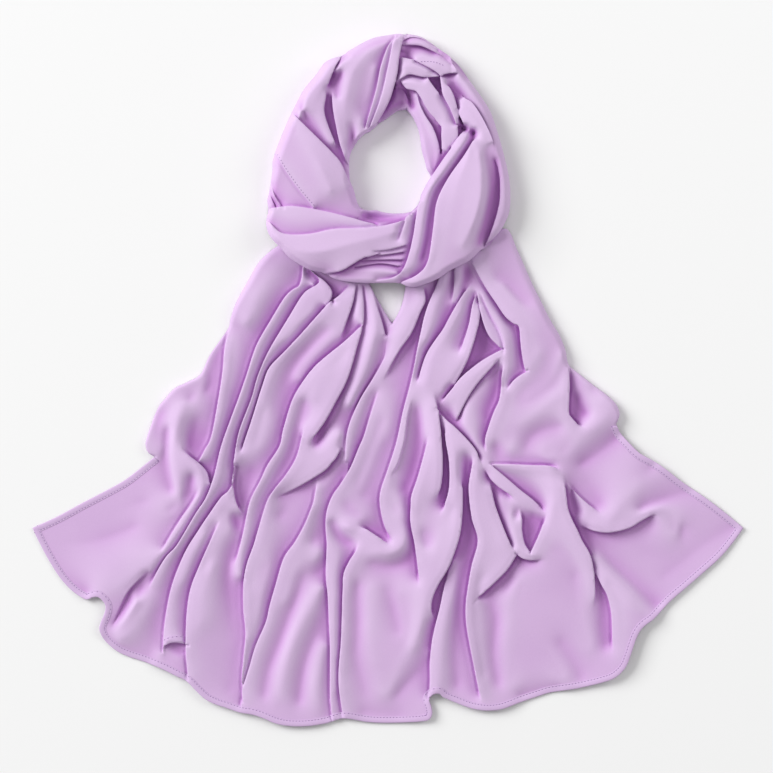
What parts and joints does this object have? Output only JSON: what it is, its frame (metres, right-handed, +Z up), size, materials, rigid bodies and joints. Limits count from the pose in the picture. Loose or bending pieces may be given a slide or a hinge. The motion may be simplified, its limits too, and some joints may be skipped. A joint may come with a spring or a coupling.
{
  "type": "chiffon scarf",
  "caption": "Lilac chiffon scarf wound into an open neck loop and laid flat, its hemmed tails fanned out below in soft pleats.",
  "frame": {"origin": "on the surface that the scarf lies on, under the middle of its bounding box", "axes": "+Z up from the surface, +Y towards the top of the neck loop, +X to the right as seen from above with the loop at the top"},
  "size_m": [0.8526, 0.8275, 0.0438],
  "materials": {
    "chiffon": "matt crepe chiffon with a soft sheen",
    "hem": "turned and stitched chiffon edge",
    "inner": "the same chiffon, in the shade of the neck opening"
  },
  "bodies": {
    "root": {"tail_left": "chiffon", "tail_right": "chiffon", "loop_left": "chiffon", "loop_outer": "chiffon", "loop_wrap": "chiffon", "loop_neck_back": "inner", "loop_inner_front": "inner", "hem_left_end": "hem", "hem_left_side": "hem", "hem_right_end": "hem", "hem_right_side": "hem"}
  },
  "joints": []
}
